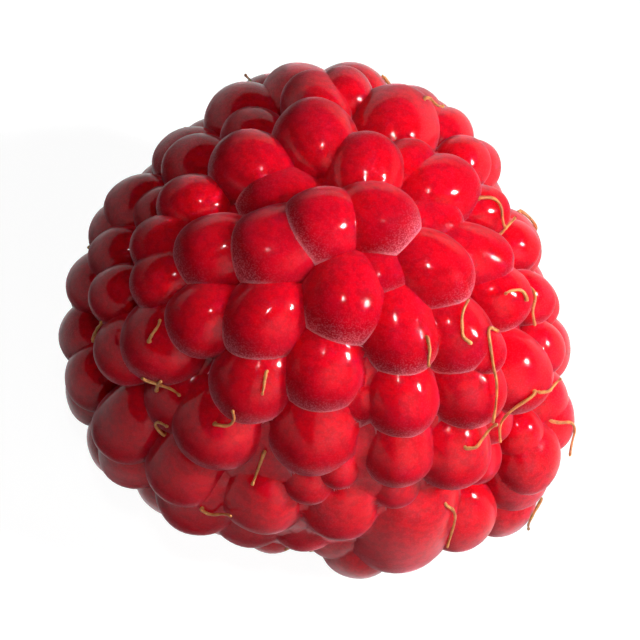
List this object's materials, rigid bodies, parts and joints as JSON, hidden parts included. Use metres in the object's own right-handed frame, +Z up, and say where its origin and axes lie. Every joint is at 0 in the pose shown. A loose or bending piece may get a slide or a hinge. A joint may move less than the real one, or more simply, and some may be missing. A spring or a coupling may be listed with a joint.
{
  "type": "raspberry",
  "caption": "Ripe red raspberry as picked: a blunt dome of plump drupelets round an open receptacle hollow, with dried golden styles, standing on its rim with the tip up.",
  "frame": {"origin": "middle of the fruit's bounding box, on the surface that it stands on", "axes": "+Z up along the fruit's axis, from the open hollow at the base to the tip; the side with the largest, proudest drupelets and most of the styles is towards +X"},
  "size_m": [0.023, 0.0221, 0.0174],
  "materials": {
    "fruit": null,
    "style": "dry golden plant thread, matte"
  },
  "bodies": {
    "root": {"fruit": "fruit", "style_01": "style", "style_02": "style", "style_03": "style", "style_04": "style", "style_05": "style", "style_06": "style", "style_07": "style", "style_08": "style", "style_09": "style", "style_10": "style", "style_11": "style", "style_12": "style", "style_13": "style", "style_14": "style", "style_15": "style", "style_16": "style", "style_17": "style", "style_18": "style", "style_19": "style", "style_20": "style", "style_21": "style", "style_22": "style", "style_23": "style", "style_24": "style", "style_25": "style", "style_26": "style", "style_27": "style", "style_28": "style", "style_29": "style", "style_30": "style", "style_31": "style", "style_32": "style", "style_33": "style", "style_34": "style", "style_35": "style", "style_36": "style"}
  },
  "joints": []
}
